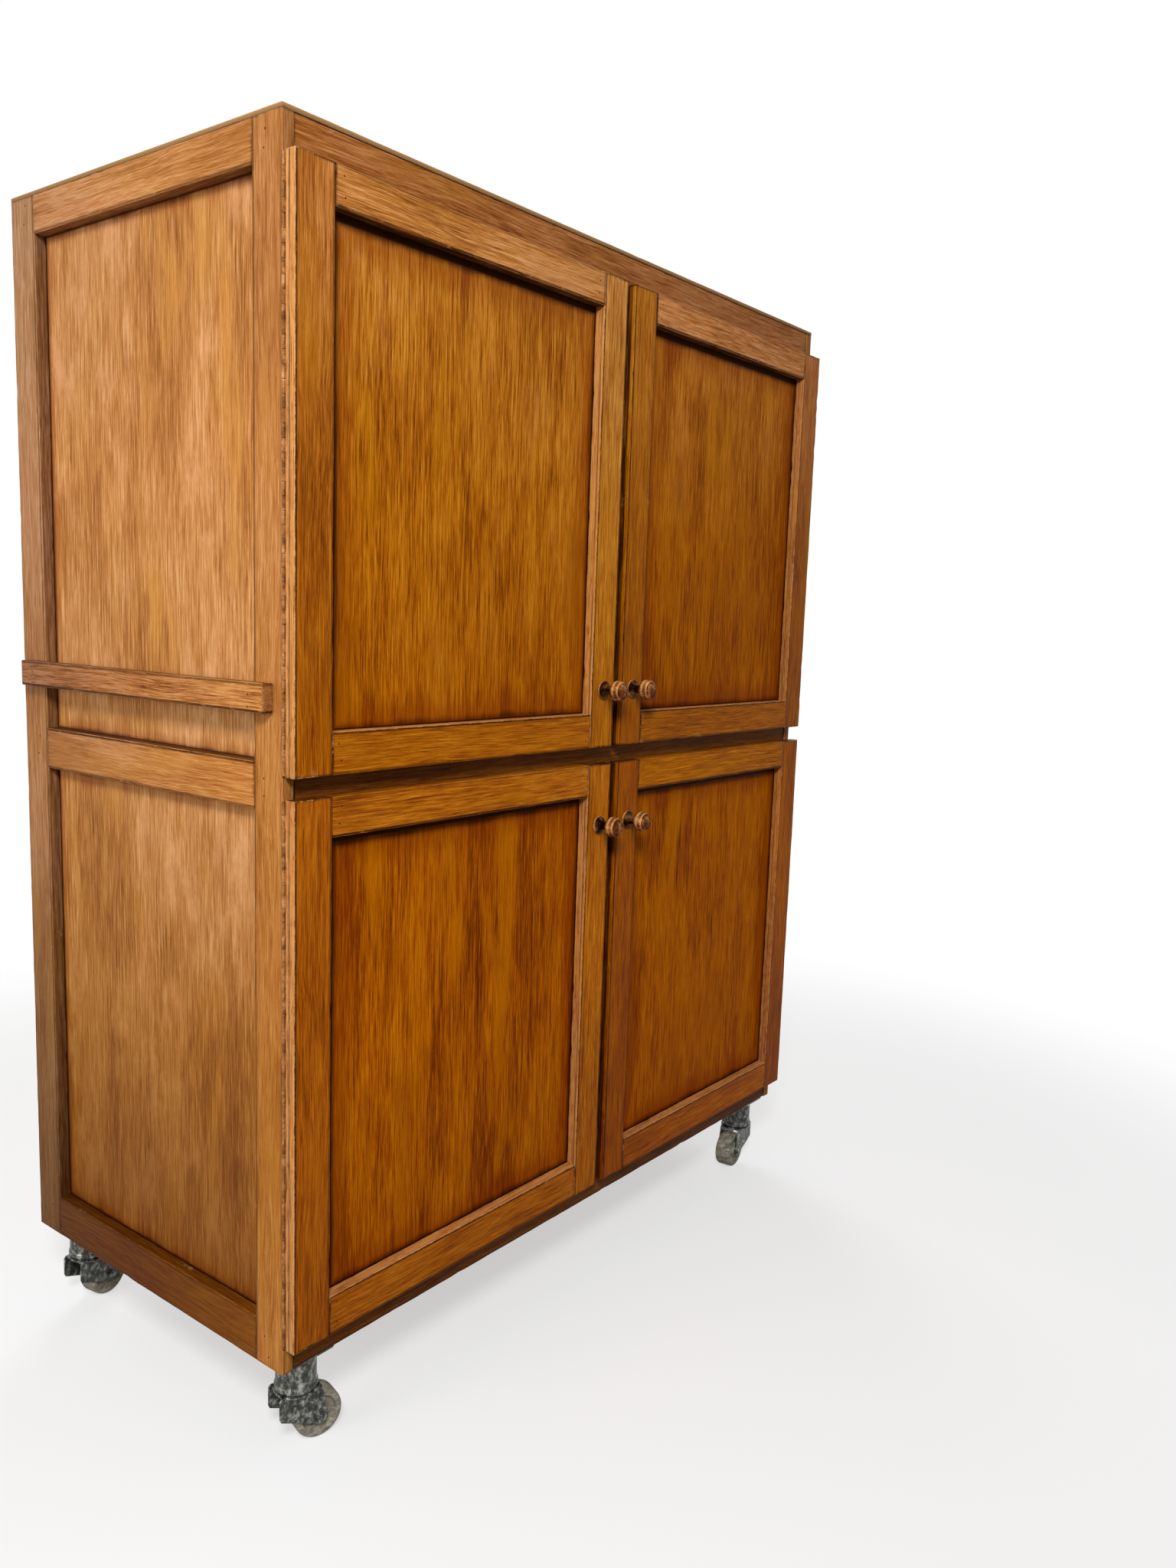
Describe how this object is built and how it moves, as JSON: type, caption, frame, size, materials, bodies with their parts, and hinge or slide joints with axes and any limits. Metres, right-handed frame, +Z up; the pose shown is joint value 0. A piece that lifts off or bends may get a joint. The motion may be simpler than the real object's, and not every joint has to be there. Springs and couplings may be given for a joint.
{
  "type": "bakers cabinet",
  "caption": "Tall stained-wood cupboard with framed doors on continuous hinges, turned knobs, side hand rails and swivel casters.",
  "frame": {"origin": "floor under the centre of the bounding box", "axes": "+Z up, +X to the right seen from the front, doors and knobs face -Y"},
  "size_m": [1.428, 0.7354, 1.852],
  "materials": {
    "side_wood": "worn satin stain on solid boards, lighter than the doors",
    "side_sheet_wood": "stained plywood sheet, satin",
    "front_wood": "amber stained boards under satin varnish",
    "panel_wood": "amber stained plywood under satin varnish",
    "shaded_rail_wood": "dark stained boards",
    "inside_wood": "plain plywood, thin clear finish",
    "knob_wood": "turned wood, glossy from handling",
    "hinge_metal": "tarnished, dull",
    "caster_metal": "dark grey zinc, grimy",
    "wheel_tread": "grey-brown tread, dull and dusty"
  },
  "bodies": {
    "root": {"left_side_frame": "side_wood", "right_side_frame": "side_wood", "left_side_sheet": "side_sheet_wood", "right_side_sheet": "side_sheet_wood", "left_hand_rail": "side_wood", "right_hand_rail": "side_wood", "top_sheet": "side_sheet_wood", "back_sheet": "inside_wood", "front_top_rail": "front_wood", "front_middle_rail": "shaded_rail_wood", "front_bottom_rail": "shaded_rail_wood", "centre_stile": "shaded_rail_wood", "bottom_deck": "inside_wood", "middle_shelf": "inside_wood", "lower_shelf": "inside_wood", "upper_shelf": "inside_wood", "upper_left_hinge_frame_leaf": "hinge_metal", "upper_right_hinge_frame_leaf": "hinge_metal", "lower_left_hinge_frame_leaf": "hinge_metal", "lower_right_hinge_frame_leaf": "hinge_metal", "caster_front_left_plate": "caster_metal", "caster_front_right_plate": "caster_metal", "caster_back_left_plate": "caster_metal", "caster_back_right_plate": "caster_metal"},
    "upper_left_door": {"upper_left_hinge_stile": "front_wood", "upper_left_meeting_stile": "front_wood", "upper_left_top_rail": "front_wood", "upper_left_bottom_rail": "front_wood", "upper_left_panel": "panel_wood", "upper_left_knob": "knob_wood", "upper_left_hinge_door_leaf": "hinge_metal"},
    "upper_right_door": {"upper_right_hinge_stile": "front_wood", "upper_right_meeting_stile": "front_wood", "upper_right_top_rail": "front_wood", "upper_right_bottom_rail": "front_wood", "upper_right_panel": "panel_wood", "upper_right_knob": "knob_wood", "upper_right_hinge_door_leaf": "hinge_metal"},
    "lower_left_door": {"lower_left_hinge_stile": "front_wood", "lower_left_meeting_stile": "front_wood", "lower_left_top_rail": "front_wood", "lower_left_bottom_rail": "front_wood", "lower_left_panel": "panel_wood", "lower_left_knob": "knob_wood", "lower_left_hinge_door_leaf": "hinge_metal"},
    "lower_right_door": {"lower_right_hinge_stile": "front_wood", "lower_right_meeting_stile": "front_wood", "lower_right_top_rail": "front_wood", "lower_right_bottom_rail": "front_wood", "lower_right_panel": "panel_wood", "lower_right_knob": "knob_wood", "lower_right_hinge_door_leaf": "hinge_metal"},
    "caster_front_left": {"caster_front_left_fork": "caster_metal"},
    "caster_front_left_rolling": {"caster_front_left_wheel": "wheel_tread"},
    "caster_front_right": {"caster_front_right_fork": "caster_metal"},
    "caster_front_right_rolling": {"caster_front_right_wheel": "wheel_tread"},
    "caster_back_left": {"caster_back_left_fork": "caster_metal"},
    "caster_back_left_rolling": {"caster_back_left_wheel": "wheel_tread"},
    "caster_back_right": {"caster_back_right_fork": "caster_metal"},
    "caster_back_right_rolling": {"caster_back_right_wheel": "wheel_tread"}
  },
  "joints": [
    {"name": "upper_left_door_hinge", "type": "hinge", "parent": "root", "child": "upper_left_door", "pos_m": [-0.695, -0.30085, 1.404], "axis": [0, 0, -1], "range_deg": [0, 150]},
    {"name": "upper_right_door_hinge", "type": "hinge", "parent": "root", "child": "upper_right_door", "pos_m": [0.695, -0.30085, 1.404], "axis": [0, 0, 1], "range_deg": [0, 150]},
    {"name": "lower_left_door_hinge", "type": "hinge", "parent": "root", "child": "lower_left_door", "pos_m": [-0.695, -0.30085, 0.5875], "axis": [0, 0, -1], "range_deg": [0, 175]},
    {"name": "lower_right_door_hinge", "type": "hinge", "parent": "root", "child": "lower_right_door", "pos_m": [0.695, -0.30085, 0.5875], "axis": [0, 0, 1], "range_deg": [0, 175]},
    {"name": "caster_front_left_swivel", "type": "hinge", "parent": "root", "child": "caster_front_left", "pos_m": [-0.634, -0.25235, 0.086], "axis": [0, 0, 1], "continuous": true},
    {"name": "caster_front_left_axle", "type": "hinge", "parent": "caster_front_left", "child": "caster_front_left_rolling", "pos_m": [-0.60502, -0.26011, 0.0375], "axis": [0.2588, 0.9659, 0], "continuous": true},
    {"name": "caster_front_right_swivel", "type": "hinge", "parent": "root", "child": "caster_front_right", "pos_m": [0.634, -0.25235, 0.086], "axis": [0, 0, 1], "continuous": true},
    {"name": "caster_front_right_axle", "type": "hinge", "parent": "caster_front_right", "child": "caster_front_right_rolling", "pos_m": [0.60411, -0.25496, 0.0375], "axis": [0.0872, -0.9962, 0], "continuous": true},
    {"name": "caster_back_left_swivel", "type": "hinge", "parent": "root", "child": "caster_back_left", "pos_m": [-0.634, 0.32165, 0.086], "axis": [0, 0, 1], "continuous": true},
    {"name": "caster_back_left_axle", "type": "hinge", "parent": "caster_back_left", "child": "caster_back_left_rolling", "pos_m": [-0.60446, 0.32686, 0.0375], "axis": [-0.1736, 0.9848, 0], "continuous": true},
    {"name": "caster_back_right_swivel", "type": "hinge", "parent": "root", "child": "caster_back_right", "pos_m": [0.634, 0.32165, 0.086], "axis": [0, 0, 1], "continuous": true},
    {"name": "caster_back_right_axle", "type": "hinge", "parent": "caster_back_right", "child": "caster_back_right_rolling", "pos_m": [0.60446, 0.32686, 0.0375], "axis": [-0.1736, -0.9848, 0], "continuous": true}
  ]
}
